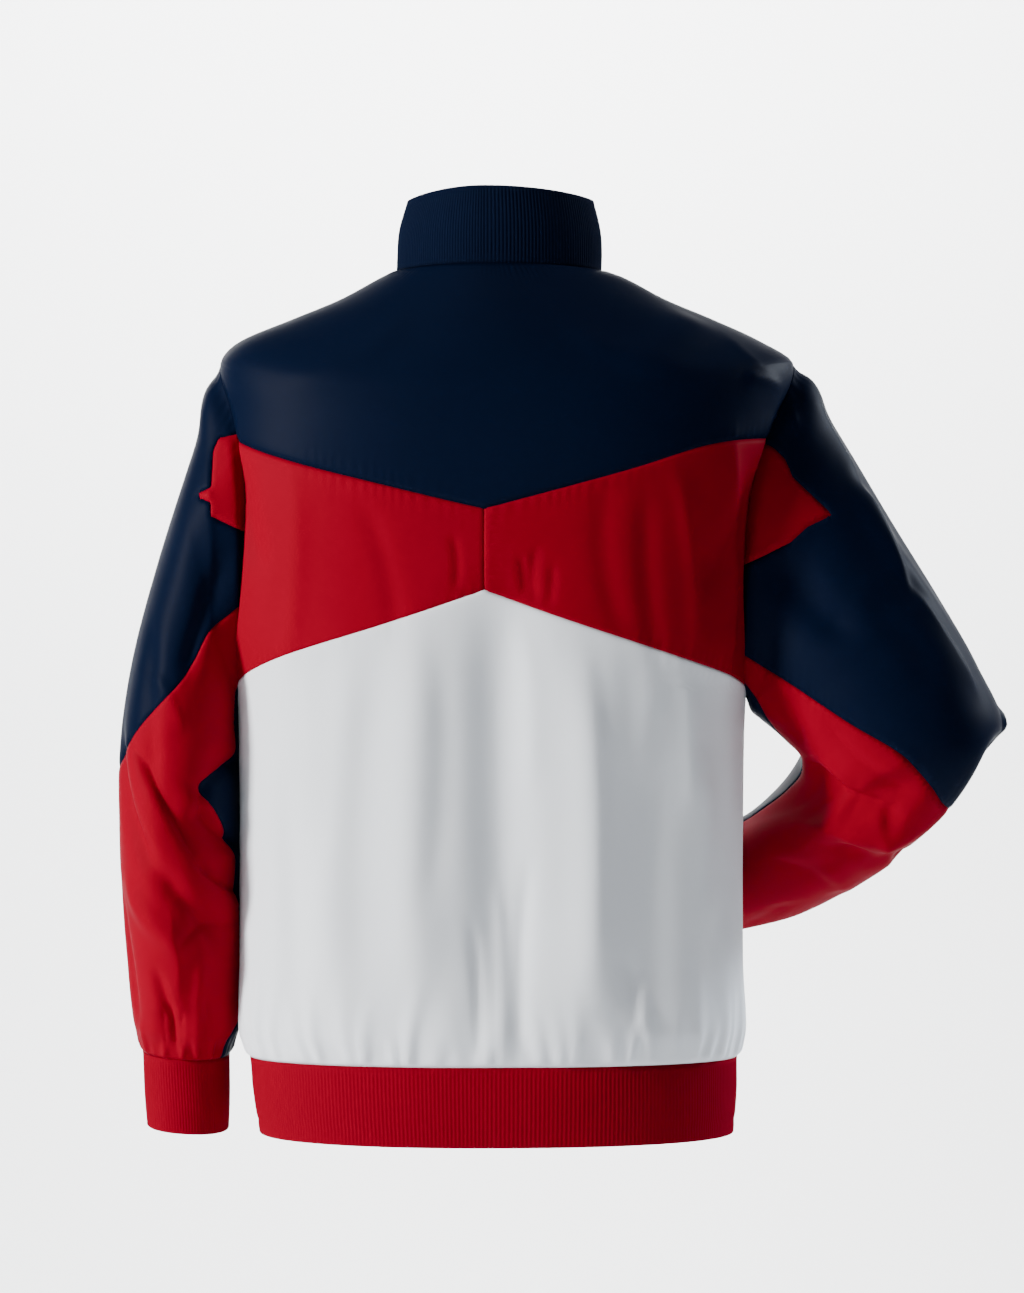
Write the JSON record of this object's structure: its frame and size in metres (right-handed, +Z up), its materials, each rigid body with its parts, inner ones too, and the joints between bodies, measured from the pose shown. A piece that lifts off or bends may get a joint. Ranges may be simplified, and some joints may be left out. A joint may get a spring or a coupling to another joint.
{
  "type": "windbreaker jacket",
  "caption": "Zip-front windbreaker jacket in navy, red and white blocks with a rib stand collar, cuffs and hem, hollow and shaped as worn.",
  "frame": {"origin": "inside the neck opening, on the centre back line, level with the collar seam at the centre back, where the wearer's neck and shoulders hold the jacket", "axes": "+X towards the jacket's own left sleeve, +Y towards its back, +Z up"},
  "size_m": [0.7137, 0.3463, 0.7676],
  "materials": {
    "navy_shell": "smooth woven nylon with a soft sheen",
    "red_shell": "smooth woven nylon with a soft sheen",
    "white_shell": "smooth woven nylon with a soft sheen",
    "navy_rib": "matt rib knit",
    "red_rib": "matt rib knit",
    "zip_tape": "matt woven tape",
    "zip_teeth": "moulded plastic",
    "zip_metal": "satin metal"
  },
  "bodies": {
    "jacket": {"back_yoke": "navy_shell", "back_band_left": "red_shell", "back_band_right": "red_shell", "back_lower": "white_shell", "front_yoke_left": "navy_shell", "front_band_left": "red_shell", "front_lower_left": "white_shell", "front_yoke_right": "navy_shell", "front_band_right": "red_shell", "front_lower_right": "white_shell", "hem_rib": "red_rib", "collar": "navy_rib", "zip_tape_left": "zip_tape", "zip_tape_right": "zip_tape", "zip_chain": "zip_teeth", "zip_box": "zip_metal", "zip_slider": "zip_metal", "sleeve_upper_left": "navy_shell", "sleeve_point_left": "red_shell", "sleeve_lower_left": "red_shell", "under_sleeve_left": "navy_shell", "cuff_left": "red_rib", "sleeve_upper_right": "navy_shell", "sleeve_point_right": "red_shell", "sleeve_lower_right": "red_shell", "under_sleeve_right": "navy_shell", "cuff_right": "red_rib"},
    "pull": {"zip_pull": "zip_metal"}
  },
  "joints": [
    {"name": "pull_swing", "type": "hinge", "parent": "jacket", "child": "pull", "pos_m": [0, -0.07151, -0.00831], "axis": [-1, 0, 0], "range_deg": [0, 150]}
  ]
}
